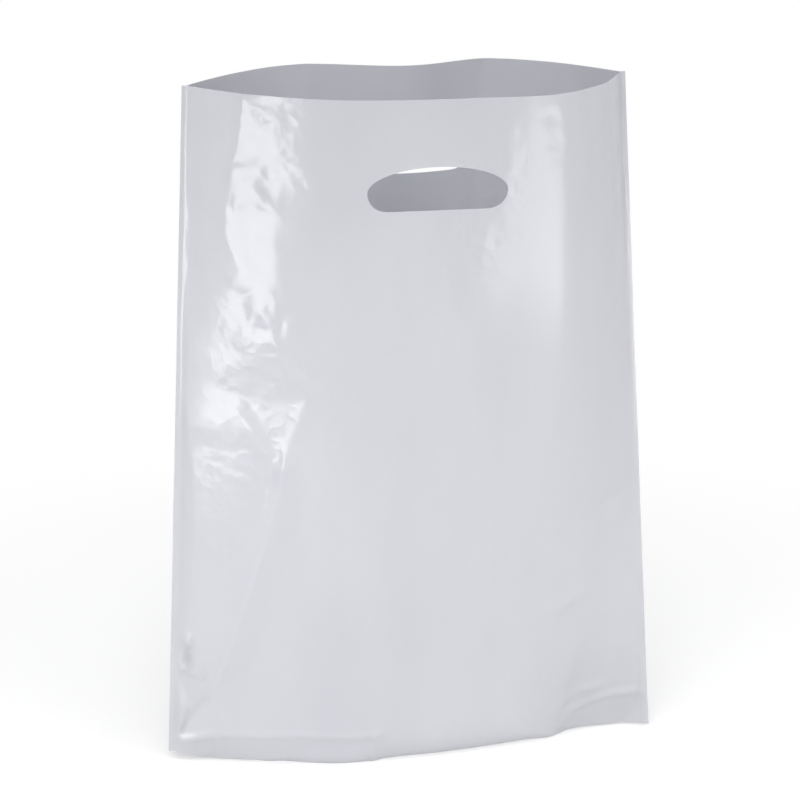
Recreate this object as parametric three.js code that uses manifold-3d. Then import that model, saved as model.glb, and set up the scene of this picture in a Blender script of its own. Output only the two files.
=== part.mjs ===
// A plastic carrier bag with a die-cut hand hole, standing open on its bottom gusset.
// The real bag is one sheet of film, folded in at the bottom and welded along both sides.
// Millimetres, Z up, X along the bag's width, -Y the front. The origin is under the middle of the base.
import * as THREE from 'three';
import { mergeVertices } from 'three/addons/utils/BufferGeometryUtils.js';
import Module from 'manifold-3d';

const wasm = await Module();
wasm.setup();

// Sizes of the flat bag
const FILM_WIDTH = 328.5; // film between the two weld lines
const WELD_LENGTH = 450; // height of the flat bag
const WELD_WIDTH = 3; // fused strip outside each weld line
const GUSSET_DEPTH = 40; // how far the bottom fold reaches up between the panels
const FILM_THICKNESS = 0.8; // stands in for film of 0.05 mm

// Die-cut hand hole, punched through both panels of the flat bag
const HOLE_WIDTH = 89;
const HOLE_HEIGHT = 28;
const HOLE_CORNER = 12; // radius of the two lower corners
const HOLE_BELOW_RIM = 44; // rim to the top of the hole
const HOLE_OFF_CENTRE = 5; // the punch sits a little right of the film's middle

// How the open bag stands
const MOUTH_DRAW_IN = 49; // the open mouth is this much narrower than the flat film
const BASE_DRAW_IN = 4.5; // the same at the bottom corners
const MOUTH_LEAN = -4; // sideways drift of the mouth over the base
const RIM_SAG = 1; // the middle of the front rim hangs below its corners
const CORNER_LIFT = 4; // the bottom corners stand off the floor
const FOLD_HEIGHT = 17; // bottom fold of both panels above the floor, past the corners
const FOLD_DROP = 30; // distance from the weld at which the fold first meets the floor
const FOLD_CLIMB = { start: 50, end: 105 }; // and where it climbs to its full height
const FOLD_LEAST = 1; // the sharp fold is never quite flat
const BASE_ROUND = 12; // how far in the film has turned when it meets the floor
const EAR = { start: 8, end: 62 }; // where the folded gusset begins to open, and where it lies flat

// Where the film leaves the welds, as shares of the width, and how sharply it rounds over
const FRONT_MOUTH = { left: 0.55, right: 0.29, power: 2.54 };
const FRONT_BASE = { left: 0.354, right: 0.728, power: 1.76 };
const BACK_MOUTH = { left: 0.36, right: 0.34, power: 1.9 };
const BACK_BASE = { left: 0.5, right: 0.5, power: 1.8 };
const BACK_HOLLOW = { at: 0.52, width: 0.17, depth: 0.34 }; // slack film dips between two folds

// Creases of the front panel, with places given as [share of the width, height].
// A dent is a ring of facets that slope in to its middle, which is pushed in furthest.
const DENT_LEFT = 0.08;
const DENT_RIGHT = 0.266;
const DENT_BOTTOM = 210;
const DENT_TOP = 290;
const DENT_TIP = [0.206, DENT_BOTTOM];
const DIAMOND = {
  edge: [[DENT_LEFT, 259], DENT_TIP, [DENT_RIGHT, 261], [0.2, DENT_TOP], [0.097, DENT_TOP]],
  middle: [0.145, 258],
  push: 4.6,
};
const SHOULDER_DENT = {
  edge: [[0.082, 381], [0.1, 346], [0.218, 350], [0.2, 394]],
  middle: [0.15, 362],
  push: 2.6,
};
const CRUMPLE = {
  edge: [[0.09, 336], [0.12, 304], [0.222, 320], [0.15, 343]],
  middle: [0.16, 322],
  push: 2.2,
};
const LONG_CREASE = {
  line: [DENT_TIP, [0.169, 159], [0.127, 109], [0.074, 50]],
  height: 1.8,
  width: 9,
};
const CORNER_FOLD = {
  line: [[0.998, 26], [0.924, 25], [0.879, 22], [0.838, 17]],
  height: 1.8,
  width: 8,
};
const SIDE_FOLD = {
  line: [[0.002, 268], [0.026, 200], [0.031, 168], [0.022, 88]],
  height: 2.4,
  width: 9,
};
const TOE_CREASE = {
  line: [[0.006, 15], [0.04, 34], [0.077, 52]],
  height: 1.4,
  width: 7,
};
// Under this crease the film turns in towards the base, except in the middle of the bag
const TUCK = {
  line: [[0, 5], [0.02, 16], [0.25, 21], [0.4, 19], [0.6, 4], [0.81, 5], [0.86, 19], [1, 25]],
  depth: 6,
  share: 0.5, // but by no more than this much of the film's distance from the weld plane
  slope: 1.3,
};

const CREASE_FADE = 8; // creases die out this close to the welds
const CREASE_SLOPE = 1.5; // 1 gives a crease straight sides, more makes them hollow

// Fineness of the faceted film
const FINE_STEP = 6; // round the creases
const SIDE_STEP = 7; // along the welds
const PLAIN_STEP = 16; // elsewhere on the front
const BACK_STEP = 17;
const FINE_ROWS = 7.5;
const SHOULDER_ROWS = 11;
const PLAIN_ROWS = 15;
const ROUND_STEPS = 3; // facets of the rounded base edge
const HOLE_FACETS = 10; // facets of each round of the hand hole
const PROFILE_STEPS = 96;
const LEVELS = 46;
const HALVINGS = 30;
const BULGE_FIT = 0.001; // the bulge is solved this closely
const SLOPE_PROBE = 0.5; // distance used to measure the film's slope
const STEEPEST = 2.2; // a steep wall is never measured thicker than this many films
const ROUND_SHARE = 0.8; // the rounded edge takes at most this much of the fold
const PUNCH_CLEARANCE = 12; // a punch reaches this far past the panel it cuts
const WELD_CLEARANCE = 6; // the inner space ends this far above the gusset at the weld
const MOUTH_REACH = 30; // the inner space reaches past the rim
const SIDE_ZONE = 0.05; // share of the width that counts as beside the weld on the back
const FRONT_SIDE = 0.85; // on the front the right-hand side zone starts here
const TOE_ROWS_TOP = 64; // height up to which the corner creases need fine rows
const SHOULDER_TOP = 394; // height up to which the shoulder needs them
const SAME_PLACE = 1e-6; // points closer than this are one corner
const WELD_TOGETHER = 1e-4; // corners closer than this are merged
const FILM_COLOUR = 0xd3d7df;
const FILM_ROUGHNESS = 0.28;

const TOP = FOLD_LEAST + CORNER_LIFT + WELD_LENGTH;
const RIDGE_HALF = FILM_THICKNESS / 2;

const mix = (from, to, share) => from + (to - from) * share;
const clamp = (value) => Math.min(Math.max(value, 0), 1);
const ease = (value) => clamp(value) ** 2 * (3 - 2 * clamp(value));
const rise = (height) => clamp(height / TOP);
const sum = (values) => values.reduce((total, value) => total + value, 0);

// The film's outline in plan, from 0 at both welds to 1 where it stands furthest out
function shoulders(share, { left, right, power }) {
  const fromLeft = 1 - clamp(1 - share / left) ** power;
  const fromRight = 1 - clamp(1 - (1 - share) / right) ** power;
  return fromLeft * fromRight;
}

const panels = {
  front: {
    outward: -1,
    shape: (share, height) =>
      mix(shoulders(share, FRONT_BASE), shoulders(share, FRONT_MOUTH), rise(height)),
    crease: frontCrease,
    sag: RIM_SAG,
  },
  back: {
    outward: 1,
    shape: (share, height) => {
      const dip = Math.exp(-(((share - BACK_HOLLOW.at) / BACK_HOLLOW.width) ** 2));
      const mouth = shoulders(share, BACK_MOUTH) * (1 - BACK_HOLLOW.depth * dip);
      return mix(shoulders(share, BACK_BASE), mouth, rise(height));
    },
    crease: () => 0,
    sag: 0,
  },
};

// Distance between the weld lines: the film is drawn in as the mouth opens
function spanAt(height) {
  return FILM_WIDTH - mix(BASE_DRAW_IN, MOUTH_DRAW_IN, height / TOP);
}

function xAt(share, height) {
  return (share - 0.5) * spanAt(height) + (MOUTH_LEAN * height) / TOP;
}

// Length of film from the left weld to a share of the width, at one height
function filmLength(panel, bulge, height, share = 1) {
  const stride = spanAt(height) / PROFILE_STEPS;
  const steps = Math.round(PROFILE_STEPS * share);
  let length = 0;
  let before = 0;
  for (let step = 1; step <= steps; step += 1) {
    const here = bulge * panel.shape(step / PROFILE_STEPS, height);
    length += Math.hypot(stride, here - before);
    before = here;
  }
  return length;
}

// The film keeps its width, so a narrower span stands further out
function solveBulge(panel, height) {
  let low = 0;
  let high = FILM_WIDTH / 2;
  while (high - low > BULGE_FIT) {
    const middle = (low + high) / 2;
    if (filmLength(panel, middle, height) > FILM_WIDTH) {
      high = middle;
    } else {
      low = middle;
    }
  }
  return low;
}

for (const panel of Object.values(panels)) {
  panel.bulges = [];
  for (let level = 0; level <= LEVELS; level += 1) {
    panel.bulges.push(solveBulge(panel, (TOP * level) / LEVELS));
  }
}

function bulgeAt(panel, height) {
  const level = rise(height) * LEVELS;
  const below = Math.min(Math.floor(level), LEVELS - 1);
  return mix(panel.bulges[below], panel.bulges[below + 1], level - below);
}

// Half the thickness of the fused layers: four up to the top of the gusset, two above it
function weldHalf(height) {
  const gusset = 1 - ease((height - CORNER_LIFT - GUSSET_DEPTH) / GUSSET_DEPTH + 1);
  return FILM_THICKNESS * (1 + gusset);
}

// How far the smooth film stands out from the plane of the welds
function smoothReach(panel, share, height) {
  return bulgeAt(panel, height) * panel.shape(share, height) + weldHalf(height);
}

// Creases, measured outward from the smooth film
function distanceToLine(line, share, height) {
  let nearest = Infinity;
  const x = xAt(share, height);
  for (let index = 1; index < line.length; index += 1) {
    const [start, end] = [line[index - 1], line[index]];
    const startX = xAt(...start);
    const [alongX, alongZ] = [xAt(...end) - startX, end[1] - start[1]];
    const reach = (x - startX) * alongX + (height - start[1]) * alongZ;
    const part = clamp(reach / (alongX ** 2 + alongZ ** 2));
    const gap = Math.hypot(x - startX - part * alongX, height - start[1] - part * alongZ);
    nearest = Math.min(nearest, gap);
  }
  return nearest;
}

function ridge({ line, height: crest, width }, share, height) {
  const gap = distanceToLine(line, share, height) / width;
  return crest * Math.max(0, 1 - gap) ** CREASE_SLOPE;
}

// How near a place in a triangle is to its third corner: 1 at the corner, 0 on the side opposite
function nearness(first, second, third, place) {
  const whole = cross(first, second, third);
  const towardFirst = cross(place, second, third) / whole;
  const towardSecond = cross(first, place, third) / whole;
  const towardThird = 1 - towardFirst - towardSecond;
  const inside = Math.min(towardFirst, towardSecond, towardThird) >= 0;
  return inside ? towardThird : 0;
}

function cross(a, b, c) {
  return (b[0] - a[0]) * (c[1] - a[1]) - (b[1] - a[1]) * (c[0] - a[0]);
}

function dent({ edge, middle, push }, share, height) {
  const fall = edge.map((corner, index) => {
    const next = edge[(index + 1) % edge.length];
    return nearness(corner, next, middle, [share, height]);
  });
  return push * Math.max(...fall);
}

function heightOn(line, share) {
  const after = Math.max(line.findIndex(([place]) => place >= share), 1);
  const [start, end] = [line[after - 1], line[after]];
  return mix(start[1], end[1], (share - start[0]) / (end[0] - start[0]));
}

function tuck(share, height) {
  const crease = heightOn(TUCK.line, share);
  const depth = Math.min(TUCK.depth, TUCK.share * smoothReach(panels.front, share, crease));
  return depth * clamp((crease - height) / crease) ** TUCK.slope;
}

function frontCrease(share, height) {
  const fade = ease(fromWeld(share) / CREASE_FADE);
  const ridges = [LONG_CREASE, CORNER_FOLD, SIDE_FOLD].map((crease) => ridge(crease, share, height));
  const dents = [DIAMOND, SHOULDER_DENT, CRUMPLE].map((shape) => dent(shape, share, height));
  const raised = sum(ridges) - sum(dents);
  return fade * (raised - ridge(TOE_CREASE, share, height) - tuck(share, height));
}

function reachAt(panel, share, height) {
  return smoothReach(panel, share, height) + panel.crease(share, height);
}

// Film thickness measured along Y, which grows where the film turns away from the front
function wallAt(panel, share, height) {
  const sideStep = SLOPE_PROBE / spanAt(height);
  const reach = (sideShare, probeHeight) => reachAt(panel, clamp(sideShare), probeHeight);
  const across =
    (reach(share + sideStep, height) - reach(share - sideStep, height)) / (2 * SLOPE_PROBE);
  const along =
    (reach(share, height + SLOPE_PROBE) - reach(share, height - SLOPE_PROBE)) / (2 * SLOPE_PROBE);
  return FILM_THICKNESS * Math.min(Math.hypot(1, across, along), STEEPEST);
}

function innerReach(panel, share, height) {
  return reachAt(panel, share, height) - wallAt(panel, share, height);
}

// Bottom fold and gusset
const fromWeld = (share) => Math.min(share, 1 - share) * spanAt(0);
const between = ({ start, end }, share) => ease((fromWeld(share) - start) / (end - start));
const openness = (share) => between(EAR, share);

function foldAt(share) {
  const corner = CORNER_LIFT * (1 - ease(fromWeld(share) / FOLD_DROP));
  return FOLD_LEAST + corner + FOLD_HEIGHT * between(FOLD_CLIMB, share);
}

function gussetMiddle(share) {
  const fold = foldAt(share);
  return (reachAt(panels.back, share, fold) - reachAt(panels.front, share, fold)) / 2;
}

function gussetApex(share) {
  const fold = foldAt(share);
  const half = (reachAt(panels.back, share, fold) + reachAt(panels.front, share, fold)) / 2;
  return fold + Math.sqrt(Math.max(GUSSET_DEPTH ** 2 - half ** 2, 0));
}

// Lower face of one leaf of the gusset at a share of the width, from the fold to the middle.
// Next to the weld it stands folded up between the panels, further in it lies open on the floor.
function lowerLeaf(panel, share) {
  const fold = foldAt(share);
  const edge = panel.outward * reachAt(panel, share, fold);
  const middle = gussetMiddle(share) + panel.outward * RIDGE_HALF;
  const apex = gussetApex(share);
  const room = ROUND_SHARE * Math.min(fold, Math.abs(edge - middle));
  const radius = Math.min(BASE_ROUND, room);
  const open = openness(share);
  const leaf = [{ y: edge, z: fold }];
  for (let step = 0; step <= ROUND_STEPS; step += 1) {
    const turn = (Math.PI / 2) * (step / ROUND_STEPS);
    const part = (step + 1) / (ROUND_STEPS + 2);
    const floorY = edge - panel.outward * radius * (1 - Math.cos(turn));
    const floorZ = fold * (1 - Math.sin(turn));
    const y = mix(mix(edge, middle, part), floorY, open);
    const z = mix(mix(fold, apex, part), floorZ, open);
    leaf.push({ y, z });
  }
  leaf.push({ y: middle, z: mix(apex, 0, open) });
  return leaf;
}

// Upper face of the leaf, one film thickness away, cut off where it meets the panel's inner face
function upperLeaf(panel, share) {
  const lower = lowerLeaf(panel, share);
  const leaf = lower.map(({ y, z }, index) => {
    const before = lower[Math.max(index - 1, 0)];
    const after = lower[Math.min(index + 1, lower.length - 1)];
    const length = Math.hypot(after.y - before.y, after.z - before.z);
    const acrossY = (panel.outward * (after.z - before.z)) / length;
    const acrossZ = (-panel.outward * (after.y - before.y)) / length;
    const atRidge = index === lower.length - 1;
    return { y: y + FILM_THICKNESS * acrossY, z: z + FILM_THICKNESS * (atRidge ? 1 : acrossZ) };
  });
  const clear = ({ y, z }) => panel.outward * y < innerReach(panel, share, z);
  let first = leaf.length - 1;
  while (first > 1 && clear(leaf[first - 1])) {
    first -= 1;
  }
  let [outside, inside] = [leaf[first - 1], leaf[first]];
  for (let halving = 0; halving < HALVINGS; halving += 1) {
    const middle = { y: (outside.y + inside.y) / 2, z: (outside.z + inside.z) / 2 };
    if (clear(middle)) {
      inside = middle;
    } else {
      outside = middle;
    }
  }
  return leaf.map((point, index) => (index < first ? inside : point));
}

// Where the facets' corners fall
function stations(zones, length) {
  const places = [zones[0].from];
  for (let index = 1; index < zones.length; index += 1) {
    const [start, end] = [zones[index - 1].from, zones[index].from];
    const count = Math.max(1, Math.round(((end - start) * length) / zones[index - 1].step));
    for (let step = 1; step <= count; step += 1) {
      places.push(mix(start, end, step / count));
    }
  }
  return places;
}

const frontShares = stations(
  [
    { from: 0, step: SIDE_STEP },
    { from: DENT_LEFT, step: FINE_STEP },
    { from: DENT_TIP[0], step: FINE_STEP },
    { from: DENT_RIGHT, step: PLAIN_STEP },
    { from: FRONT_SIDE, step: SIDE_STEP },
    { from: 1, step: SIDE_STEP },
  ],
  FILM_WIDTH,
);
const backShares = stations(
  [
    { from: 0, step: SIDE_STEP },
    { from: SIDE_ZONE, step: BACK_STEP },
    { from: 1 - SIDE_ZONE, step: SIDE_STEP },
    { from: 1, step: SIDE_STEP },
  ],
  FILM_WIDTH,
);
const rowShare = (height) => (height - FOLD_HEIGHT) / (TOP - FOLD_HEIGHT);
const rowShares = stations(
  [
    { from: 0, step: FINE_ROWS },
    { from: rowShare(TOE_ROWS_TOP), step: PLAIN_ROWS },
    { from: rowShare(DENT_BOTTOM), step: FINE_ROWS },
    { from: rowShare(DENT_TOP), step: SHOULDER_ROWS },
    { from: rowShare(SHOULDER_TOP), step: PLAIN_ROWS },
    { from: 1, step: PLAIN_ROWS },
  ],
  TOP - FOLD_HEIGHT,
);

// Rows of points across the bag, from the left weld to the right
function panelRow(panel, shares, rowPart, floor, depth) {
  return shares.map((share) => {
    const rim = TOP - panel.sag * panel.shape(share, TOP);
    const height = Math.max(mix(foldAt(share), rim, rowPart), floor(share));
    return new THREE.Vector3(xAt(share, height), depth(share, height), height);
  });
}

function outerRow(panel, shares, rowPart) {
  const depth = (share, height) => panel.outward * reachAt(panel, share, height);
  const row = panelRow(panel, shares, rowPart, foldAt, depth);
  const weldEdge = (point, side) =>
    new THREE.Vector3(point.x + side * WELD_WIDTH, point.y, point.z);
  return [weldEdge(row[0], -1), ...row, weldEdge(row[row.length - 1], 1)];
}

const onWeld = (share) => share === 0 || share === 1;

function innerRow(panel, shares, rowPart) {
  const floor = (share) =>
    onWeld(share) ? gussetApex(share) + WELD_CLEARANCE : upperLeaf(panel, share)[0].z;
  const depth = (share, height) =>
    onWeld(share) ? 0 : panel.outward * innerReach(panel, share, height);
  return panelRow(panel, shares, rowPart, floor, depth);
}

// The leaf's rows: points cut off by the panel, or on the weld, fall on the panel's lowest row
function gussetRows(leafAt, panel, shares, foldRow) {
  const columns = shares.map((share, index) => {
    const leaf = leafAt(panel, share);
    const start = foldRow[index];
    const closed = leafAt === upperLeaf && onWeld(share);
    return leaf.map(({ y, z }) => {
      const onPanel = closed || (y === leaf[0].y && z === leaf[0].z);
      return onPanel ? start : new THREE.Vector3(xAt(share, z), y, z);
    });
  });
  return columns[0].map((_, row) => columns.map((column) => column[row]));
}

// A closed surface, gathered triangle by triangle
class Surface {
  corners = [];

  triangle(a, b, c) {
    const shortest = Math.min(a.distanceTo(b), b.distanceTo(c), c.distanceTo(a));
    if (shortest > SAME_PLACE) {
      this.corners.push(a, b, c);
    }
  }

  quad(a, b, c, d) {
    this.triangle(a, b, c);
    this.triangle(a, c, d);
  }

  // Joins two rows that may have different numbers of points
  join(first, second) {
    let [i, j] = [0, 0];
    const along = (row, index) => row[index].x;
    while (i < first.length - 1 || j < second.length - 1) {
      const stepFirst =
        j === second.length - 1 ||
        (i < first.length - 1 &&
          along(first, i) + along(first, i + 1) <= along(second, j) + along(second, j + 1));
      if (stepFirst) {
        this.triangle(first[i], first[i + 1], second[j]);
        i += 1;
      } else {
        this.triangle(first[i], second[j + 1], second[j]);
        j += 1;
      }
    }
  }

  ring(rows) {
    rows.forEach((row, index) => this.join(row, rows[(index + 1) % rows.length]));
  }

  solid() {
    const raw = new THREE.BufferGeometry().setFromPoints(this.corners);
    return toManifold(raw);
  }
}

function toManifold(geometry) {
  geometry.deleteAttribute('normal');
  geometry.deleteAttribute('uv');
  const merged = mergeVertices(geometry, WELD_TOGETHER);
  return new wasm.Manifold(
    new wasm.Mesh({
      numProp: 3,
      vertProperties: new Float32Array(merged.attributes.position.array),
      triVerts: new Uint32Array(merged.index.array),
    }),
  );
}

// The narrow end face along one weld, up the panels and along the folded gusset
function closeEnd(surface, side, [near, far, nearLeaf, farLeaf]) {
  const corner = (rows, row) => rows[row].at(side);
  for (let row = 1; row < near.length; row += 1) {
    const low = row - 1;
    surface.quad(corner(far, low), corner(near, low), corner(near, row), corner(far, row));
  }
  surface.quad(corner(near, 0), corner(far, 0), corner(farLeaf, 0), corner(nearLeaf, 0));
  for (let row = 1; row < nearLeaf.length; row += 1) {
    const low = row - 1;
    surface.quad(
      corner(nearLeaf, low),
      corner(farLeaf, low),
      corner(farLeaf, row),
      corner(nearLeaf, row),
    );
  }
}

// Everything inside the film's outer face, with the solid weld strips at both sides
function outerSolid() {
  const surface = new Surface();
  const front = rowShares.map((part) => outerRow(panels.front, frontShares, part));
  const back = rowShares.map((part) => outerRow(panels.back, backShares, part));
  const bare = (row) => row.slice(1, -1);
  const frontLeaf = gussetRows(lowerLeaf, panels.front, frontShares, bare(front[0]));
  const backLeaf = gussetRows(lowerLeaf, panels.back, backShares, bare(back[0]));
  const panelRows = [...front, ...back.toReversed()];
  panelRows.slice(1).forEach((row, index) => surface.join(panelRows[index], row));
  const gusset = [...backLeaf, ...frontLeaf.toReversed()];
  gusset.slice(1).forEach((row, index) => surface.join(gusset[index], row));
  closeEnd(surface, 0, [front, back, frontLeaf, backLeaf]);
  closeEnd(surface, -1, [back, front, backLeaf, frontLeaf]);
  return surface.solid();
}

// The space inside the film, carried on above the rim so that the mouth is open
function innerSolid() {
  const surface = new Surface();
  const front = rowShares.map((part) => innerRow(panels.front, frontShares, part));
  const back = rowShares.map((part) => innerRow(panels.back, backShares, part));
  const carriedOn = (row, below) =>
    row.map((point, index) => point.clone().lerp(below[index], -MOUTH_REACH / PLAIN_ROWS));
  const frontLeaf = gussetRows(upperLeaf, panels.front, frontShares, front[0]);
  const backLeaf = gussetRows(upperLeaf, panels.back, backShares, back[0]);
  surface.ring([
    ...front.slice(0, -1),
    carriedOn(front.at(-1), front.at(-2)),
    carriedOn(back.at(-1), back.at(-2)),
    ...back.slice(0, -1).toReversed(),
    ...backLeaf.slice(1),
    ...frontLeaf.slice(1).toReversed(),
  ]);
  return surface.solid();
}

// Flat below, arched above, with rounded lower corners
function holeOutline() {
  const half = HOLE_WIDTH / 2;
  const shape = new THREE.Shape();
  shape.moveTo(HOLE_CORNER - half, 0);
  shape.lineTo(half - HOLE_CORNER, 0);
  shape.absarc(half - HOLE_CORNER, HOLE_CORNER, HOLE_CORNER, -Math.PI / 2, 0, false);
  shape.absellipse(0, HOLE_CORNER, half, HOLE_HEIGHT - HOLE_CORNER, 0, Math.PI, false, 0);
  shape.absarc(HOLE_CORNER - half, HOLE_CORNER, HOLE_CORNER, Math.PI, 1.5 * Math.PI, false);
  return shape;
}

// The share of the width that lies above a place on the flat film
function shareOnFilm(panel, place, height) {
  const bulge = bulgeAt(panel, height);
  let share = 0;
  while (share < 1 && filmLength(panel, bulge, height, share) < place) {
    share += 1 / PROFILE_STEPS;
  }
  return share;
}

function holePunch(panel) {
  const bottom = TOP - HOLE_BELOW_RIM - HOLE_HEIGHT;
  const share = shareOnFilm(panel, FILM_WIDTH / 2 + HOLE_OFF_CENTRE, bottom);
  const reach = bulgeAt(panel, TOP) + PUNCH_CLEARANCE;
  const punch = new THREE.ExtrudeGeometry(holeOutline(), {
    depth: reach,
    bevelEnabled: false,
    curveSegments: HOLE_FACETS,
  });
  punch.rotateX(Math.PI / 2);
  const start = panel.outward > 0 ? reach : 0;
  punch.translate(xAt(share, bottom), start, bottom);
  return toManifold(punch);
}

function toGeometry(solid) {
  const { numProp, vertProperties, triVerts } = solid.getMesh();
  const geometry = new THREE.BufferGeometry();
  const places = new Float32Array(vertProperties);
  geometry.setAttribute('position', new THREE.BufferAttribute(places, numProp));
  geometry.setIndex(new THREE.BufferAttribute(new Uint32Array(triVerts), 1));
  return geometry;
}

function carrierBag() {
  const solid = outerSolid()
    .subtract(innerSolid())
    .subtract(holePunch(panels.front))
    .subtract(holePunch(panels.back));
  const geometry = toGeometry(solid);
  geometry.computeBoundingBox();
  const { min, max } = geometry.boundingBox;
  geometry.translate(-(min.x + max.x) / 2, -(min.y + max.y) / 2, -min.z);
  geometry.computeVertexNormals();
  const film = new THREE.MeshStandardMaterial({
    color: FILM_COLOUR,
    roughness: FILM_ROUGHNESS,
    metalness: 0,
  });
  const mesh = new THREE.Mesh(geometry, film);
  mesh.name = 'carrier_bag';
  return mesh;
}

const bag = new THREE.Group();
bag.add(carrierBag());

export default bag;
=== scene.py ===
import math
from typing import NamedTuple

import bpy
import numpy as np
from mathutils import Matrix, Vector


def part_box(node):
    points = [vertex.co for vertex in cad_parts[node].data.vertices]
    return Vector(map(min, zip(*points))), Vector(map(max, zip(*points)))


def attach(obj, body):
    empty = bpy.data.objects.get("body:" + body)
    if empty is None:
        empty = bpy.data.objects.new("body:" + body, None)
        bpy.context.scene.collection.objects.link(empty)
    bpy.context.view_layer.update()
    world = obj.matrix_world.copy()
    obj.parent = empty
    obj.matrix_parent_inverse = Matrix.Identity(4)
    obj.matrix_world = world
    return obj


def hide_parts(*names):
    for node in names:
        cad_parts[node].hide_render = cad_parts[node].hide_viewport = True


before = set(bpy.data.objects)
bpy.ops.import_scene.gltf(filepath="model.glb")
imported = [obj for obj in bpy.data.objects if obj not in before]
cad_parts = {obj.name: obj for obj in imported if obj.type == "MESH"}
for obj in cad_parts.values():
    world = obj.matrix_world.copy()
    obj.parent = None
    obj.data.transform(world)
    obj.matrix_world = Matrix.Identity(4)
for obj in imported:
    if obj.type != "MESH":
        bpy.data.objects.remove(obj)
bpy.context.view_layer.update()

# Sizes of the flat bag, in millimetres
FILM_WIDTH = 328.5
WELD_LENGTH = 450.0
WELD_WIDTH = 3.0
GUSSET_DEPTH = 40.0

# The film's thickness, and the room that each layer takes in the welds
FILM = 0.3
LAYER = 0.32

# Height of the fold between a panel and the gusset: lifted at the corners, the left one most,
# lowest beside them, and highest over the open base
CORNER_LIFT = 4.0
RIGHT_SETTLE = 3.4
FOLD_LEAST = 1.0
FOLD_HEIGHT = 17.0
FOLD_DROP = 30.0
FOLD_CLIMB = (50.0, 105.0)
TOP = FOLD_LEAST + CORNER_LIFT + WELD_LENGTH

# Going in from a weld, where the gusset's folded ear gives way to the open base
EAR = (8.0, 62.0)

# How far inside its fold the film meets the floor, at the left and at the right
BASE_ROUND = (6.0, 11.0)
ROUND_CHANGE = (0.36, 0.48)
ROUND_LIMIT = 0.8

# Left of the middle the front film already leans in by this angle at its fold
FOLD_LEAN = 0.5
LEAN_CHANGE = (0.38, 0.5)

# How much narrower than the film the bag stands, and how its mouth leans and sags
MOUTH_DRAW_IN = 49.0
BASE_DRAW_IN = 4.5
MOUTH_LEAN = -4.0
RIM_SAG = 1.0

# Where the film leaves the welds, as shares of the width: left, right, power
FRONT_MOUTH = (0.55, 0.29, 2.54)
FRONT_BASE = (0.354, 0.728, 1.76)
BACK_MOUTH = (0.36, 0.34, 1.9)
BACK_BASE = (0.5, 0.5, 1.8)
BACK_HOLLOW = (0.52, 0.17, 0.34)

# Die-cut hand hole
HOLE_WIDTH = 89.0
HOLE_HEIGHT = 28.0
HOLE_CORNER = 12.0
HOLE_BELOW_RIM = 44.0
HOLE_OFF_CENTRE = 5.0

# Heights at which the bulge is solved, and steps along the film there
LEVELS = 46
PROFILE_STEPS = 96
BULGE_TOLERANCE = 0.001

SEED = 11
SHARP_ANGLE = 50.0
FLOOR_HALF = 6.0
MM_PER_METRE = 1000.0


def mix(a, b, t):
    return a + (b - a) * t


def clamp(t):
    return np.clip(t, 0.0, 1.0)


def ease(t):
    t = clamp(t)
    return t * t * (3.0 - 2.0 * t)


def ramp(t, start, end):
    return ease((t - start) / (end - start))


def bump(t, centre, width):
    return np.exp(-(((t - centre) / width) ** 2))


def shoulders(share, form):
    left, right, power = form
    from_left = 1.0 - clamp(1.0 - share / left) ** power
    from_right = 1.0 - clamp(1.0 - (1.0 - share) / right) ** power
    return from_left * from_right


def front_shape(share, height):
    return mix(shoulders(share, FRONT_BASE), shoulders(share, FRONT_MOUTH), clamp(height / TOP))


def back_shape(share, height):
    at, width, depth = BACK_HOLLOW
    mouth = shoulders(share, BACK_MOUTH) * (1.0 - depth * bump(share, at, width))
    return mix(shoulders(share, BACK_BASE), mouth, clamp(height / TOP))


def span_at(height):
    return FILM_WIDTH - mix(BASE_DRAW_IN, MOUTH_DRAW_IN, height / TOP)


def x_at(share, height):
    return (share - 0.5) * span_at(height) + MOUTH_LEAN * height / TOP


def film_length(shape, bulge, height, share=1.0):
    steps = max(1, int(round(PROFILE_STEPS * share)))
    places = np.arange(steps + 1) / PROFILE_STEPS
    reach = bulge * shape(places, height)
    return float(np.hypot(span_at(height) / PROFILE_STEPS, np.diff(reach)).sum())


# The film keeps its width, so a narrower span stands further out
def solve_bulges(shape):
    found = []
    for level in range(LEVELS + 1):
        height = TOP * level / LEVELS
        low, high = 0.0, FILM_WIDTH / 2.0
        while high - low > BULGE_TOLERANCE:
            middle = (low + high) / 2.0
            if film_length(shape, middle, height) > FILM_WIDTH:
                high = middle
            else:
                low = middle
        found.append(low)
    return np.array(found)


BULGES = {"front": solve_bulges(front_shape), "back": solve_bulges(back_shape)}
SHAPES = {"front": front_shape, "back": back_shape}
OUTWARD = {"front": -1.0, "back": 1.0}


def bulge_at(side, height):
    return np.interp(height, np.linspace(0.0, TOP, LEVELS + 1), BULGES[side])


def weld_half(height):
    gusset = 1.0 - ramp(height, CORNER_LIFT, CORNER_LIFT + GUSSET_DEPTH)
    return LAYER * (1.0 + gusset)


def smooth_reach(side, share, height):
    return bulge_at(side, height) * SHAPES[side](share, height) + weld_half(height)


def from_weld(share):
    return np.minimum(share, 1.0 - share) * span_at(0.0)


def between(span, share):
    return ramp(from_weld(share), *span)


def fold_at(share):
    lift = CORNER_LIFT - RIGHT_SETTLE * ease(share)
    corner = lift * (1.0 - ease(from_weld(share) / FOLD_DROP))
    return FOLD_LEAST + corner + FOLD_HEIGHT * between(FOLD_CLIMB, share)


# Creases, measured outward from the smooth film. Points are (share of the width, height)


class Ridge(NamedTuple):
    """Sharp on its crest. Below zero its height makes a groove. far is its width on the right."""

    points: tuple
    height: float
    width: float
    slope: float = 1.5
    taper: tuple = (0.0, 0.3)
    far: float = None


class Dent(NamedTuple):
    """A ring of facets that slope in to a middle, which is pushed in furthest."""

    edge: tuple
    middle: tuple
    push: float


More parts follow.
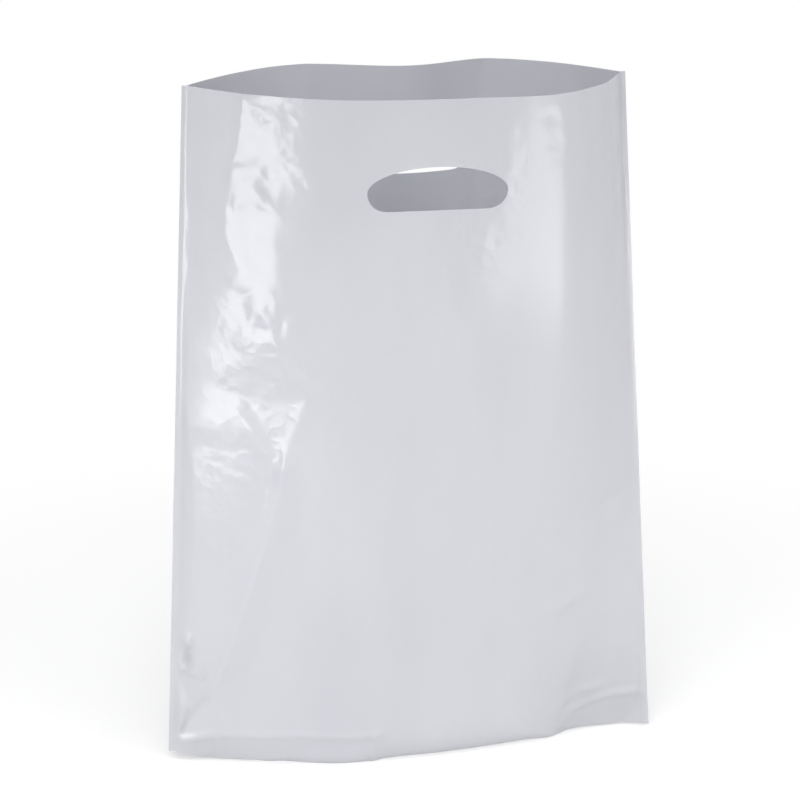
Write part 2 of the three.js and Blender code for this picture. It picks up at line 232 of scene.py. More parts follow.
# The large dent on the left. The third value of a corner is how far out it lies.
# Corners 0 to 4 are the bright triangle, and the others are the dent's rim.
DIAMOND = (
    (0.077, 260, -0.7), (0.138, 257, -1.8), (0.219, 258, -0.6), (0.259, 264, 1.1),
    (0.203, 213, 1.4), (0.062, 262, 0), (0.117, 236, 0), (0.19, 193, 0), (0.25, 222, 0),
    (0.293, 267, 0), (0.2, 285, 0), (0.142, 284, 0), (0.1, 280, 0),
)
DIAMOND_FACES = (
    (0, 1, 4), (1, 2, 4), (2, 3, 4), (0, 6, 4), (0, 5, 6), (4, 6, 7), (4, 7, 8), (3, 4, 8),
    (3, 8, 9), (3, 9, 10), (2, 3, 10), (1, 2, 10), (1, 10, 11), (1, 11, 12), (0, 1, 12),
    (0, 12, 5),
)

# The knot under the shoulder, the two dents below it and the notch above it
FRONT_DENTS = (
    Dent(
        ((0.083, 384), (0.081, 364), (0.09, 355), (0.11, 345), (0.145, 337), (0.196, 350),
         (0.226, 362), (0.226, 376), (0.15, 390)),
        middle=(0.135, 364), push=1.3,
    ),
    Dent(
        ((0.092, 334), (0.09, 308), (0.104, 296), (0.138, 294), (0.14, 332)),
        middle=(0.118, 322), push=0.4,
    ),
    Dent(
        ((0.19, 322), (0.193, 296), (0.21, 306), (0.226, 318)),
        middle=(0.2, 312), push=0.6,
    ),
    Dent(
        ((0.141, 399), (0.171, 413), (0.24, 412), (0.3, 390), (0.225, 376), (0.159, 384)),
        middle=(0.176, 395), push=1.0,
    ),
)

SHOULDER_RIDGES = (
    Ridge(
        ((0.113, 456), (0.106, 423), (0.092, 405), (0.082, 381), (0.081, 364), (0.09, 356),
         (0.11, 346), (0.139, 338)),
        0.7, 5.0, slope=1.1, taper=(0.0, 0.25), far=11.0,
    ),
    Ridge(((0.186, 456), (0.176, 432), (0.186, 419), (0.168, 408)), 0.5, 9.0, taper=(0.0, 0.2)),
    Ridge(((0.142, 404), (0.138, 394), (0.156, 385), (0.2, 379)), 0.5, 6.0, taper=(0.2, 0.2)),
    Ridge(
        ((0.142, 336), (0.137, 314), (0.138, 292)),
        0.5, 10.0, slope=1.1, taper=(0.1, 0.2), far=15.0,
    ),
    Ridge(((0.142, 328), (0.191, 293), (0.259, 265)), 0.5, 5.0, taper=(0.2, 0.0)),
)

# The long crease from the dent's tip down to the left corner, and two short ones beside it
LONG_CREASES = (
    Ridge(
        ((0.203, 213), (0.202, 200), (0.169, 159), (0.127, 109), (0.074, 50)),
        3.6, 7.0, slope=1.1, taper=(0.0, 0.15), far=18.0,
    ),
    Ridge(((0.083, 206), (0.12, 203), (0.153, 202)), 0.25, 3.5),
    Ridge(((0.064, 156), (0.073, 146)), 0.2, 3.5),
)

# The film folds over beside the left weld, down to a star of small creases at the toe
STAR = (0.022, 86)
LEFT_FOLD = (
    Ridge(
        ((0.002, 268), (0.014, 240), (0.026, 200), (0.031, 168), (0.026, 130), (0.022, 88)),
        3.4, 9.0, slope=1.0, taper=(0.2, 0.0), far=50.0,
    ),
    Ridge((STAR, (0.0, 68)), 2.2, 5.0, taper=(0.0, 0.0)),
    Ridge((STAR, (0.051, 62)), 3.2, 6.0),
    Ridge(((0.051, 63), (0.0, 67)), 3.0, 6.0),
    Ridge(((0.03, 74), (0.012, 56), (0.02, 38)), -2.2, 7.0),
    Ridge(((0.006, 15), (0.04, 34), (0.077, 52)), -2.2, 8.0),
    Ridge(((0.006, 14), (0.045, 17), (0.077, 20), (0.089, 12)), 2.0, 5.0),
    Ridge(((0.006, 16), (0.016, 30), (0.014, 56)), 1.6, 5.0),
    Ridge(((0.077, 20), (0.253, 22), (0.403, 20)), 1.0, 5.0, taper=(0.1, 0.0)),
    Ridge(((0.403, 22), (0.408, 8)), 1.8, 6.0),
)

# The gusset's fold pulls creases into the lower right corner
RIGHT_CORNER = (
    Ridge(((0.998, 26), (0.924, 25), (0.879, 22), (0.838, 17), (0.818, 7)), 2.2, 5.0),
    Ridge(((0.901, 33), (0.856, 32), (0.81, 24), (0.769, 14)), 2.0, 7.0),
    Ridge(((0.838, 28), (0.863, 64), (0.873, 78)), -1.8, 8.0),
    Ridge(((0.776, 94), (0.83, 103), (0.88, 111)), 1.2, 8.0, taper=(0.3, 0.3)),
    Ridge(((0.834, 156), (0.92, 168), (0.99, 176)), -1.2, 9.0, taper=(0.4, 0.2)),
)

# Soft folds hang from the rim, right of the hand hole
RIM_FOLDS = (
    Ridge(((0.79, 440), (0.8, 418), (0.81, 404)), -0.8, 7.0, taper=(0.0, 0.5)),
    Ridge(((0.938, 456), (0.946, 400), (0.952, 340)), 3.2, 14.0, slope=1.1, taper=(0.0, 0.4)),
    Ridge(((0.688, 456), (0.687, 410), (0.69, 370)), 0.7, 13.0, slope=1.1, taper=(0.1, 0.5)),
)

FRONT_RIDGES = SHOULDER_RIDGES + LONG_CREASES + LEFT_FOLD + RIGHT_CORNER + RIM_FOLDS

BACK_RIDGES = (
    Ridge(((0.3, 452), (0.36, 320), (0.3, 170)), 1.6, 12.0, taper=(0.0, 0.4)),
    Ridge(((0.72, 452), (0.68, 330), (0.78, 190), (0.85, 90)), 1.8, 12.0, taper=(0.0, 0.4)),
    Ridge(((0.2, 60), (0.32, 110), (0.48, 130)), -1.4, 10.0, taper=(0.3, 0.4)),
    Ridge(((0.998, 27), (0.93, 29), (0.86, 20)), 1.5, 8.0),
    Ridge(((0.002, 27), (0.06, 30), (0.13, 20)), 1.5, 8.0),
)

# Height of the crease under which the front film turns in, how far in, and where it does not
TUCK = (
    (0.0, 5), (0.009, 15), (0.077, 20), (0.253, 22), (0.403, 20), (0.5, 12), (0.78, 4),
    (0.815, 7), (0.838, 16), (0.879, 21), (0.924, 24), (1.0, 25),
)
TUCK_DEPTH = ((0.0, 5.0), (0.5, 5.0), (0.8, 8.5), (1.0, 8.5))
TUCK_CURVE = 0.25
NO_TUCK = {"centre": 0.62, "width": 0.16}

# Low down the front film stands further out, most of all near the middle
KICK = 6.0
KICK_AT = {"centre": 0.45, "width": 0.3}
KICK_HEIGHT = 80.0

# The film sinks in over the folded gusset at the right
HOLLOW_DEPTH = 7.0
HOLLOW_SHARES = (0.76, 0.88)
HOLLOW_TOP = 66.0
HOLLOW_RUN = 42.0
HOLLOW_SLACK = 12.0

# Where the film is crumpled: on the left shoulder, along the welds, low down, and at the back
SHOULDER = {"centre": 0.14, "width": 0.075}
SHOULDER_FADE = (285.0, 305.0)
SHOULDER_AREA = {"across": (-165.0, -70.0), "up": (270.0, 470.0)}
WELD_CRUMPLE = 70.0
BASE_CRUMPLE = 90.0
BASE_CRUMPLE_SHARE = 0.7
BACK_CRUMPLE = {"centre": 0.8, "width": 0.12}
CELL_STRETCH = 1.4

# The relief dies away this close to the welds
FRONT_MARGIN = 4.0
BACK_MARGIN = 6.0


def spot(share, height):
    return (float(x_at(share, height)), float(height))


def by_share(table, share):
    return np.interp(share, [p[0] for p in table], [p[1] for p in table])


# Distance to a line, and how far along it the nearest point is
def along_line(line, x, z):
    nearest = np.full(np.shape(x), 1e9)
    at = np.zeros(np.shape(x))
    lengths = [math.dist(a, b) for a, b in zip(line, line[1:])]
    done = 0.0
    for (ax, az), (bx, bz), length in zip(line, line[1:], lengths):
        part = clamp(((x - ax) * (bx - ax) + (z - az) * (bz - az)) / length**2)
        gap = np.hypot(x - ax - part * (bx - ax), z - az - part * (bz - az))
        closer = gap < nearest
        at = np.where(closer, (done + part * length) / sum(lengths), at)
        nearest = np.where(closer, gap, nearest)
        done += length
    return nearest, at


# A ridge tapers to nothing at the ends that are asked for
def raised(ridge, x, z):
    line = [spot(*point) for point in ridge.points]
    gap, at = along_line(line, x, z)
    reach = ridge.width
    if ridge.far is not None:
        upward = line[::-1]
        crest_x = np.interp(z, [p[1] for p in upward], [p[0] for p in upward])
        reach = np.where(x > crest_x, ridge.far, ridge.width)
    crest = ridge.height * np.maximum(0.0, 1.0 - gap / reach) ** ridge.slope
    start, end = ridge.taper
    if start:
        crest = crest * ease(at / start)
    if end:
        crest = crest * ease((1.0 - at) / end)
    return crest


def turn(a, b, c):
    return (b[0] - a[0]) * (c[1] - a[1]) - (b[1] - a[1]) * (c[0] - a[0])


# Flat facets between points that are given as (share, height, how far out)
def facets(corners, faces, x, z):
    out = np.zeros(np.shape(x))
    placed = [(*spot(share, height), rise) for share, height, rise in corners]
    for face in faces:
        a, b, c = (placed[index] for index in face)
        whole = turn(a, b, c)
        one = turn((x, z), b, c) / whole
        two = turn(a, (x, z), c) / whole
        three = 1.0 - one - two
        inside = (one >= 0.0) & (two >= 0.0) & (three >= 0.0)
        out = np.where(inside, one * a[2] + two * b[2] + three * c[2], out)
    return out


def pressed(dent, x, z):
    corners = [(*dent.middle, -dent.push), *((*corner, 0.0) for corner in dent.edge)]
    count = len(dent.edge)
    faces = [(0, i + 1, (i + 1) % count + 1) for i in range(count)]
    return facets(corners, faces, x, z)


# Slack film crumples into flats that meet in sharp ridges and grooves
def crumple(x, z, seed, size, steep, across=(-200.0, 200.0), up=(-20.0, 480.0)):
    dice = np.random.RandomState(seed)
    highest = np.full(np.shape(x), -1e9)
    lowest = np.full(np.shape(x), 1e9)
    for cx in np.arange(*across, size):
        for cz in np.arange(*up, size * CELL_STRETCH):
            px, pz = dice.uniform(-0.5, 0.5, 2) * size + (cx, cz)
            slope_x, slope_z, other_x, other_z = dice.normal(0.0, steep, 4)
            lift = dice.uniform(0.0, steep, 2) * size * 0.5
            gap = 0.5 * ((x - px) ** 2 + (z - pz) ** 2) * steep / size
            flat = slope_x * (x - px) + slope_z * (z - pz)
            other = other_x * (x - px) + other_z * (z - pz)
            highest = np.maximum(highest, lift[0] + flat - gap)
            lowest = np.minimum(lowest, other + gap - lift[1])
    return highest + lowest


def waves(x, z, seed, length_x, length_z, count=7):
    dice = np.random.RandomState(seed)
    total = np.zeros(np.shape(x))
    for _ in range(count):
        fx = dice.uniform(0.5, 1.4) / length_x
        fz = dice.uniform(0.5, 1.4) / length_z * dice.choice((-1.0, 1.0))
        total += np.sin(2.0 * math.pi * (fx * x + fz * z) + dice.uniform(0.0, 2.0 * math.pi))
    return total / count**0.5


def tuck(share, z):
    crease = by_share(TUCK, share)
    under = clamp((crease - z) / crease)
    depth = np.minimum(by_share(TUCK_DEPTH, share), 0.5 * smooth_reach("front", share, crease))
    depth = depth * (1.0 - bump(share, **NO_TUCK))
    return depth * mix(under, under**2, TUCK_CURVE)


def hollow(share, z):
    slack = clamp(smooth_reach("front", share, z) / HOLLOW_SLACK)
    depth = HOLLOW_DEPTH * ramp(share, *HOLLOW_SHARES) * slack
    return depth * clamp((HOLLOW_TOP - z) / HOLLOW_RUN) ** 1.5


def front_relief(share, z):
    x = x_at(share, z)
    total = facets(DIAMOND, DIAMOND_FACES, x, z)
    total += sum(pressed(dent, x, z) for dent in FRONT_DENTS)
    total += sum(raised(ridge, x, z) for ridge in FRONT_RIDGES)
    total -= hollow(share, z)
    shoulder = bump(share, **SHOULDER) * ramp(z, *SHOULDER_FADE)
    total += shoulder * crumple(x, z, SEED, size=14.0, steep=0.03, **SHOULDER_AREA)
    total += shoulder * crumple(x, z, SEED + 1, size=6.5, steep=0.035, **SHOULDER_AREA)
    total += 0.6 * crumple(x, z, SEED + 6, size=46.0, steep=0.012)
    sides = 1.0 - ease(from_weld(share) / WELD_CRUMPLE)
    sides = sides + BASE_CRUMPLE_SHARE * (1.0 - ease(z / BASE_CRUMPLE))
    total += sides * crumple(x, z, SEED + 7, size=19.0, steep=0.025)
    total += 0.3 * waves(x, z, SEED + 2, length_x=90.0, length_z=260.0)
    total += 0.05 * waves(x, z, SEED + 3, length_x=22.0, length_z=60.0)
    total += KICK * bump(share, **KICK_AT) * ease((KICK_HEIGHT - z) / KICK_HEIGHT)
    return total * ease(from_weld(share) / FRONT_MARGIN) - tuck(share, z)


def back_relief(share, z):
    x = x_at(share, z)
    total = sum(raised(ridge, x, z) for ridge in BACK_RIDGES)
    total += 0.45 * waves(x, z, SEED + 4, length_x=80.0, length_z=220.0)
    crumpled = bump(share, **BACK_CRUMPLE)
    total += 0.4 * crumpled * crumple(x, z, SEED + 5, size=24.0, steep=0.05)
    return total * ease(from_weld(share) / BACK_MARGIN)


RELIEF = {"front": front_relief, "back": back_relief}


def reach_at(side, share, height):
    return smooth_reach(side, share, height) + RELIEF[side](share, height)


# Columns of points, closer together where the film is creased


def stations(*zones):
    places = [zones[0][0]]
    for (start, step), (end, _) in zip(zones, zones[1:]):
        count = max(1, int(round((end - start) * FILM_WIDTH / step)))
        places += [mix(start, end, (i + 1) / count) for i in range(count)]
    return np.array(places)


# Zones: where each starts and how far apart its columns are
COARSE = 1.0
FRONT = stations((0.0, 1.5 * COARSE), (0.29, 3.1 * COARSE), (0.92, 1.7 * COARSE), (1.0, None))
BACK = stations((0.0, 2.2 * COARSE), (0.1, 4.6 * COARSE), (0.9, 2.2 * COARSE), (1.0, None))
FRONT_ROWS = int(214 / COARSE)
BACK_ROWS = int(96 / COARSE)
ARC_STEPS = 7
LEAF_STEPS = 5
LEAF_GAP = 0.02

# The fused strips outside the welds wave a little. Each wave is given as stretch and weight
FIN_COLUMNS = (1.0, 0.55)
FIN_LONG_WAVE = (21.0, 1.0)
FIN_SHORT_WAVE = (9.0, 0.6)
FIN_SWAY = 0.16
FIN_LEAN = 0.5
FIN_STEADY = 40.0


# One panel: rows from the fold up to the rim
def panel_grid(side, shares, rows):
    share = np.broadcast_to(shares, (rows + 1, len(shares)))
    part = np.linspace(0.0, 1.0, rows + 1)[:, None]
    sag = RIM_SAG if side == "front" else 0.0
    rim = TOP - sag * SHAPES[side](share, TOP)
    height = mix(fold_at(share), rim, part)
    y = OUTWARD[side] * reach_at(side, share, height)
    points = np.stack([x_at(share, height), y, height], axis=-1)
    return with_fins(points)


def with_fins(points):
    out = []
    long_wave, long_weight = FIN_LONG_WAVE
    short_wave, short_weight = FIN_SHORT_WAVE
    for end, outer in ((0, -1.0), (-1, 1.0)):
        edge = points[:, end]
        sway = long_weight * np.sin(edge[:, 2] / long_wave + outer)
        sway = sway + short_weight * np.sin(edge[:, 2] / short_wave)
        strip = []
        for share in FIN_COLUMNS:
            shift = edge.copy()
            shift[:, 0] += outer * WELD_WIDTH * share
            drift = (FIN_SWAY * sway + FIN_LEAN) * share
            shift[:, 1] += drift * ease(edge[:, 2] / FIN_STEADY)
            strip.append(shift)
        out.append(strip)
    left = np.stack(out[0], axis=1)
    right = np.stack(out[1][::-1], axis=1)
    return np.concatenate([left, points, right], axis=1)


# One leaf of the gusset, from the panel's fold to the middle of the base
def leaf_grid(side, shares):
    fold = fold_at(shares)
    reach = {name: reach_at(name, shares, fold) for name in OUTWARD}
    edge = OUTWARD[side] * reach[side]
    middle = (reach["back"] - reach["front"]) / 2.0 + OUTWARD[side] * LEAF_GAP
    half = (reach["back"] + reach["front"]) / 2.0
    apex = fold + np.sqrt(np.maximum(GUSSET_DEPTH**2 - half**2, 0.0))
    radius = mix(*BASE_ROUND, ramp(shares, *ROUND_CHANGE))
    radius = np.minimum(radius, ROUND_LIMIT * np.minimum(fold, np.abs(edge - middle)))
    is_open = between(EAR, shares)
    start = (FOLD_LEAN if side == "front" else 0.0) * (1.0 - ramp(shares, *LEAN_CHANGE))
    rows = []
    steps = ARC_STEPS + LEAF_STEPS
    for step in range(1, steps + 1):
        angle = mix(start, math.pi / 2.0, min(1.0, step / ARC_STEPS))
        beyond = max(0.0, (step - ARC_STEPS) / LEAF_STEPS)
        part = step / steps
        floor_y = edge - OUTWARD[side] * radius * (1.0 - np.cos(angle) / np.cos(start))
        floor_y = mix(floor_y, middle, beyond)
        floor_z = fold * (1.0 - np.sin(angle)) / (1.0 - np.sin(start))
        y = mix(mix(edge, middle, part), floor_y, is_open)
        z = mix(mix(fold, apex, part), floor_z, is_open)
        rows.append(np.stack([x_at(shares, z), y, z], axis=-1))
    return with_fins(np.stack(rows))


# The die-cut outline: below zero inside the hole
def hole_field(x, z):
    half = HOLE_WIDTH / 2.0
    side = np.maximum(np.abs(x) - (half - HOLE_CORNER), 0.0)
    below = np.maximum(HOLE_CORNER - z, 0.0)
    low = np.hypot(side, below) - HOLE_CORNER
    arch = HOLE_HEIGHT - HOLE_CORNER
    high = (np.hypot(x / half, (z - HOLE_CORNER) / arch) - 1.0) * arch
    return np.where(z < HOLE_CORNER, np.maximum(low, -z), high)


def hole_centre(side):
    bottom = TOP - HOLE_BELOW_RIM - HOLE_HEIGHT
    bulge = float(bulge_at(side, bottom))
    share = 0.0
    while share < 1.0:
        if film_length(SHAPES[side], bulge, bottom, share) >= FILM_WIDTH / 2.0 + HOLE_OFF_CENTRE:
            break
        share += 1.0 / PROFILE_STEPS
    return float(x_at(share, bottom)), bottom


class Sheet:
    """One skin of film: points, and faces cut off where the field is below zero."""

    def __init__(self):
        self.points = []
        self.faces = []
        self.field = []
        self.cuts = {}

    def grid(self, points, field):
        start = len(self.points)
        rows, columns = points.shape[:2]
        self.points.extend(points.reshape(-1, 3).tolist())
        self.field.extend(field.reshape(-1).tolist())
        return start + np.arange(rows * columns).reshape(rows, columns)

    def cut_point(self, a, b):
        key = (min(a, b), max(a, b))
        if key not in self.cuts:
            part = self.field[a] / (self.field[a] - self.field[b])
            place = [mix(p, q, part) for p, q in zip(self.points[a], self.points[b])]
            self.cuts[key] = len(self.points)
            self.points.append(place)
            self.field.append(0.0)
        return self.cuts[key]

    def face(self, corners):
        inside = [self.field[c] < 0.0 for c in corners]
        if not any(inside):
            self.faces.append(tuple(corners))
            return
        if all(inside):
            return
        kept = []
        for index, corner in enumerate(corners):
            following = corners[(index + 1) % len(corners)]
            if not inside[index]:
                kept.append(corner)
            if inside[index] != (self.field[following] < 0.0):
                kept.append(self.cut_point(corner, following))
        if len(kept) >= 3:
            self.faces.append(tuple(kept))

    def strip(self, low, high, flip=False):
        for i in range(len(low) - 1):
            corners = [low[i], low[i + 1], high[i + 1], high[i]]
            self.face([int(c) for c in (corners[::-1] if flip else corners)])

    def strips(self, rows, flip=False):
        for low, high in zip(rows, rows[1:]):
            self.strip(low, high, flip)

    # Triangles between two rows that have different columns, kept in step along x
    def join(self, low, high, flip=False):
        i = j = 0

        def x(index):
            return self.points[index][0]

        while i < len(low) - 1 or j < len(high) - 1:
            by_low = j == len(high) - 1 or (
                i < len(low) - 1 and x(low[i]) + x(low[i + 1]) <= x(high[j]) + x(high[j + 1])
            )
            if by_low:
                corners = [low[i], low[i + 1], high[j]]
                i += 1
            else:
                corners = [low[i], high[j + 1], high[j]]
                j += 1
            self.face([int(c) for c in (corners[::-1] if flip else corners)])


# Gives the skin its thickness and closes it along every free edge
def thicken(sheet, thickness):
    points = np.array(sheet.points)
    normals = np.zeros_like(points)
    for face in sheet.faces:
        corners = points[list(face)]
        normal = np.zeros(3)
        for i in range(1, len(face) - 1):
            normal += np.cross(corners[i] - corners[0], corners[i + 1] - corners[0])
        for index in face:
            normals[index] += normal
    lengths = np.linalg.norm(normals, axis=1)
    normals /= np.maximum(lengths, 1e-12)[:, None]
    used = sorted({index for face in sheet.faces for index in face})
    renumber = {old: new for new, old in enumerate(used)}
    outer = points[used]
    inner = outer - thickness * normals[used]
    count = len(used)
    faces = [tuple(renumber[i] for i in face) for face in sheet.faces]
    # An edge that no second face shares is a free one
    edges = {}
    for face in faces:
        for a, b in zip(face, face[1:] + face[:1]):
            if (b, a) in edges:
                del edges[(b, a)]
            else:
                edges[(a, b)] = True
    closed = list(faces)
    closed += [tuple(count + i for i in reversed(face)) for face in faces]
    closed += [(b, a, a + count, b + count) for a, b in edges]
    return np.concatenate([outer, inner]), closed


def build_film():
    sheet = Sheet()
    front = panel_grid("front", FRONT, FRONT_ROWS)
    back = panel_grid("back", BACK, BACK_ROWS)
    front_leaf = leaf_grid("front", FRONT)
    back_leaf = leaf_grid("back", BACK)

    def punched(side, grid):
        centre, bottom = hole_centre(side)
        return hole_field(grid[..., 0] - centre, grid[..., 2] - bottom)

    def whole(grid):
        return np.full(grid.shape[:2], 1.0)

    front_ids = sheet.grid(front, punched("front", front))
    back_ids = sheet.grid(back, punched("back", back))
    front_leaf_ids = sheet.grid(front_leaf, whole(front_leaf))
    back_leaf_ids = sheet.grid(back_leaf, whole(back_leaf))
    sheet.strips(front_ids)
    sheet.strips(back_ids, flip=True)
    sheet.strips([front_ids[0], *front_leaf_ids], flip=True)
    sheet.strips([back_ids[0], *back_leaf_ids])
    sheet.join(front_leaf_ids[-1], back_leaf_ids[-1], flip=True)
    return thicken(sheet, FILM)


# Node helpers


# A value's name is a socket or a setting of the node, with _ where the socket has a space
def node(tree, kind, **values):
    made = tree.nodes.new(kind)
    for key, value in values.items():
        socket = key.replace("_", " ")
        if socket in made.inputs:
            made.inputs[socket].default_value = value
        else:
            setattr(made, key, value)
    return made


def wire(tree, *links):
    for source, output, target, socket in links:
        tree.links.new(source.outputs[output], target.inputs[socket])


# Cloudy pigment, drawn out up the bag as the film is blown
def add_pigment(tree, place):
    stretch = node(tree, "ShaderNodeMapping", Scale=(22.0, 22.0, 5.0))
    cloud = node(tree, "ShaderNodeTexNoise", Scale=1.0, Detail=5.0)
    tint = node(tree, "ShaderNodeValToRGB")
    dark, light = tint.color_ramp.elements
    dark.position = 0.3
    dark.color = (0.73, 0.735, 0.77, 1.0)
    light.position = 0.7
    light.color = (0.762, 0.766, 0.798, 1.0)
    wire(
        tree,
        (place, "Object", stretch, "Vector"),
        (stretch, "Vector", cloud, "Vector"),
        (cloud, "Fac", tint, "Fac"),
    )
    return tint


# Faint draw lines and small creases
def add_draw_lines(tree, place):
    stretch = node(tree, "ShaderNodeMapping", Scale=(300.0, 300.0, 9.0))
    streak = node(tree, "ShaderNodeTexNoise", Scale=1.0, Detail=3.0)
    fine = node(tree, "ShaderNodeTexNoise", Scale=140.0, Detail=4.0)
    first = node(tree, "ShaderNodeBump", Strength=0.12, Distance=0.0002)
    second = node(tree, "ShaderNodeBump", Strength=0.15, Distance=0.0004)
    wire(
        tree,
        (place, "Object", stretch, "Vector"),
        (stretch, "Vector", streak, "Vector"),
        (place, "Object", fine, "Vector"),
        (streak, "Fac", first, "Height"),
        (fine, "Fac", second, "Height"),
        (first, "Normal", second, "Normal"),
    )
    return second


# Crinkles a few millimetres across, strongest in patches
def add_crinkle(tree, place, below):
    warp = node(tree, "ShaderNodeTexNoise", Scale=60.0)
    push = node(tree, "ShaderNodeVectorMath", operation="SCALE", Scale=0.012)
    bent = node(tree, "ShaderNodeVectorMath", operation="ADD")
    cells = node(tree, "ShaderNodeTexVoronoi", feature="F1", Scale=120.0)
    patch = node(tree, "ShaderNodeTexNoise", Scale=14.0, Detail=3.0)
    share = node(tree, "ShaderNodeMapRange", From_Min=0.42, From_Max=0.62)
    height = node(tree, "ShaderNodeMath", operation="MULTIPLY")
    made = node(tree, "ShaderNodeBump", Strength=0.5, Distance=0.0006)
    wire(
        tree,
        (place, "Object", warp, "Vector"),
        (warp, "Color", push, 0),
        (push, "Vector", bent, 0),
        (place, "Object", bent, 1),
        (bent, "Vector", cells, "Vector"),
        (place, "Object", patch, "Vector"),
        (patch, "Fac", share, "Value"),
        (cells, "Distance", height, 0),
        (share, "Result", height, 1),
        (height, "Value", made, "Height"),
        (below, "Normal", made, "Normal"),
    )
    return made


def new_material(name):
    material = bpy.data.materials.new(name)
    material.use_nodes = True
    material.node_tree.nodes.clear()
    return material, material.node_tree


# Glossy film that lets some light through
def film_material():
    material, tree = new_material("film")
    out = node(tree, "ShaderNodeOutputMaterial")
    skin = node(
        tree, "ShaderNodeBsdfPrincipled", IOR=1.5, Roughness=0.17, Specular_IOR_Level=0.5
    )
    through = node(tree, "ShaderNodeBsdfTranslucent")
    blend = node(tree, "ShaderNodeMixShader", Fac=0.4)
    place = node(tree, "ShaderNodeTexCoord")
    tint = add_pigment(tree, place)
    crinkle = add_crinkle(tree, place, add_draw_lines(tree, place))
    wire(
        tree,
        (tint, "Color", skin, "Base Color"),
        (tint, "Color", through, "Color"),
        (crinkle, "Normal", skin, "Normal"),
        (skin, "BSDF", blend, 1),
        (through, "BSDF", blend, 2),
        (blend, "Shader", out, "Surface"),
    )
    return material


def make_piece(name, points, faces, material):
    mesh = bpy.data.meshes.new(name)
    mesh.from_pydata(points.tolist(), [], faces)
    mesh.validate()
    mesh.materials.append(material)
    mesh.shade_smooth()
    mesh.set_sharp_from_angle(angle=math.radians(SHARP_ANGLE))
    mesh.update()
    piece = bpy.data.objects.new(name, mesh)
    bpy.context.scene.collection.objects.link(piece)
    return piece


# The floor and the world


# The sweep fades to white away from the bag
def floor_material():
    material, tree = new_material("floor")
    out = node(tree, "ShaderNodeOutputMaterial")
    near = node(tree, "ShaderNodeBsdfDiffuse", Color=(0.95, 0.95, 0.95, 1.0))
    far = node(tree, "ShaderNodeEmission", Color=(1.0, 1.0, 1.0, 1.0), Strength=1.0)
    place = node(tree, "ShaderNodeTexCoord")
    length = node(tree, "ShaderNodeVectorMath", operation="LENGTH")
    fade = node(tree, "ShaderNodeMapRange", From_Min=0.2, From_Max=0.7, To_Min=0.45)
    fade.interpolation_type = "SMOOTHSTEP"
    blend = node(tree, "ShaderNodeMixShader")
    wire(
        tree,
        (place, "Object", length, 0),
        (length, "Value", fade, "Value"),
        (fade, "Result", blend, "Fac"),
        (near, "BSDF", blend, 1),
        (far, "Emission", blend, 2),
        (blend, "Shader", out, "Surface"),
    )
    return material


def make_floor():
    mesh = bpy.data.meshes.new("floor")
    half = FLOOR_HALF
    corners = [(-half, -half, 0), (half, -half, 0), (half, half, 0), (-half, half, 0)]
    mesh.from_pydata(corners, [], [(0, 1, 2, 3)])
    mesh.materials.append(floor_material())
    floor = bpy.data.objects.new("floor", mesh)
    bpy.context.scene.collection.objects.link(floor)


# White where the camera sees it, and a plain dim light everywhere else
def make_world():
    world = bpy.data.worlds.new("studio")
    world.use_nodes = True
    bpy.context.scene.world = world
    tree = world.node_tree
    tree.nodes.clear()
    out = node(tree, "ShaderNodeOutputWorld")
    seen = node(tree, "ShaderNodeBackground", Color=(1.0, 1.0, 1.0, 1.0), Strength=1.0)
    light = node(tree, "ShaderNodeBackground", Color=(0.97, 0.98, 1.0, 1.0), Strength=0.26)
    path = node(tree, "ShaderNodeLightPath")
    choose = node(tree, "ShaderNodeMixShader")
    wire(
        tree,
        (path, "Is Camera Ray", choose, "Fac"),
        (light, "Background", choose, 1),
        (seen, "Background", choose, 2),
        (choose, "Shader", out, "Surface"),
    )


class Lamp(NamedTuple):
    """A rectangular area lamp: metres, watts, and the spread of its beam in degrees."""

    name: str
    place: tuple
    aim: tuple
    width: float
    height: float
    watts: float
    diffuse: bool = True
    glossy: bool = True
    spread: float = 180.0


CENTRE = (0.0, 0.0, 0.24)

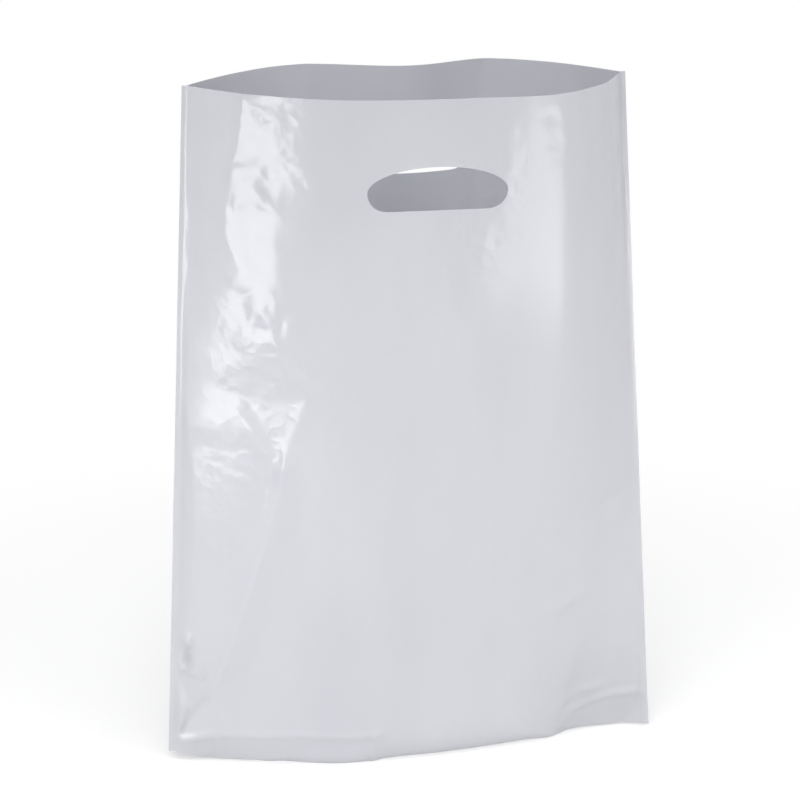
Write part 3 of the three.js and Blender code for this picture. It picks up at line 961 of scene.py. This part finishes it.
# The two strips make only highlights, and the four softboxes after them make none
LAMPS = (
    Lamp(
        "left_strip", (-0.674, -0.4, 0.2), (-0.11, -0.035, 0.33),
        0.26, 0.275, 1.76, diffuse=False,
    ),
    Lamp(
        "right_strip", (0.36, -0.435, 0.185), (0.075, -0.055, 0.41),
        0.34, 0.17, 0.9, diffuse=False,
    ),
    Lamp(
        "low_softbox", (-0.14, -0.62, 0.45), (-0.02, -0.05, 0.05),
        0.9, 0.2, 0.6, glossy=False, spread=80.0,
    ),
    Lamp("left_softbox", (-0.8, -0.25, 0.2), (-0.1, 0.0, 0.2), 0.4, 0.3, 1.3, glossy=False),
    Lamp("side_softbox", (0.85, -0.3, 0.3), (0.1, 0.0, 0.25), 0.5, 0.25, 1.8, glossy=False),
    Lamp("back_softbox", (0.5, 2.0, 1.2), CENTRE, 1.2, 0.9, 6.0, glossy=False),
    Lamp("front_softbox", (-0.6, -1.9, 1.5), CENTRE, 1.3, 1.0, 12.0),
    Lamp("top_softbox", (0.0, -0.5, 2.2), CENTRE, 1.8, 1.4, 30.0),
)


def add_lamp(lamp):
    data = bpy.data.lights.new(lamp.name, "AREA")
    data.shape = "RECTANGLE"
    data.size = lamp.width
    data.size_y = lamp.height
    data.energy = lamp.watts
    data.spread = math.radians(lamp.spread)
    made = bpy.data.objects.new(lamp.name, data)
    made.location = lamp.place
    made.visible_camera = False
    made.visible_diffuse = lamp.diffuse
    made.visible_glossy = lamp.glossy
    away = Vector(lamp.place) - Vector(lamp.aim)
    made.rotation_euler = away.to_track_quat("Z", "Y").to_euler()
    bpy.context.scene.collection.objects.link(made)


# Azimuth 0 looks along +Y at the front of the bag
def add_camera(aim, distance, azimuth, elevation, lens):
    data = bpy.data.cameras.new("camera")
    data.lens = lens
    data.sensor_width = 36.0
    camera = bpy.data.objects.new("camera", data)
    a, e = math.radians(azimuth), math.radians(elevation)
    away = Vector((math.sin(a) * math.cos(e), -math.cos(a) * math.cos(e), math.sin(e)))
    camera.location = Vector(aim) + distance * away
    camera.rotation_euler = away.to_track_quat("Z", "Y").to_euler()
    bpy.context.scene.collection.objects.link(camera)
    bpy.context.scene.camera = camera


# From millimetres to metres, over the middle of the solid's box and down on the floor
def stood_in_frame(points):
    low, high = points.min(axis=0), points.max(axis=0)
    low_box, high_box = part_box("carrier_bag")
    points = points / MM_PER_METRE
    for axis in (0, 1):
        middle = (low[axis] + high[axis]) / 2.0 / MM_PER_METRE
        points[:, axis] -= middle - (low_box[axis] + high_box[axis]) / 2.0
    points[:, 2] -= low[2] / MM_PER_METRE
    return points


def make_bag():
    points, faces = build_film()
    bag = make_piece("film_bag", stood_in_frame(points), faces, film_material())
    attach(bag, "root")
    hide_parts("carrier_bag")


bpy.context.scene.view_settings.view_transform = "Standard"
add_camera(
    aim=(-0.0079, 0.0029, 0.2418), distance=2.0, azimuth=-9.759, elevation=16.897, lens=137.46
)
make_bag()
make_floor()
make_world()
for lamp in LAMPS:
    add_lamp(lamp)
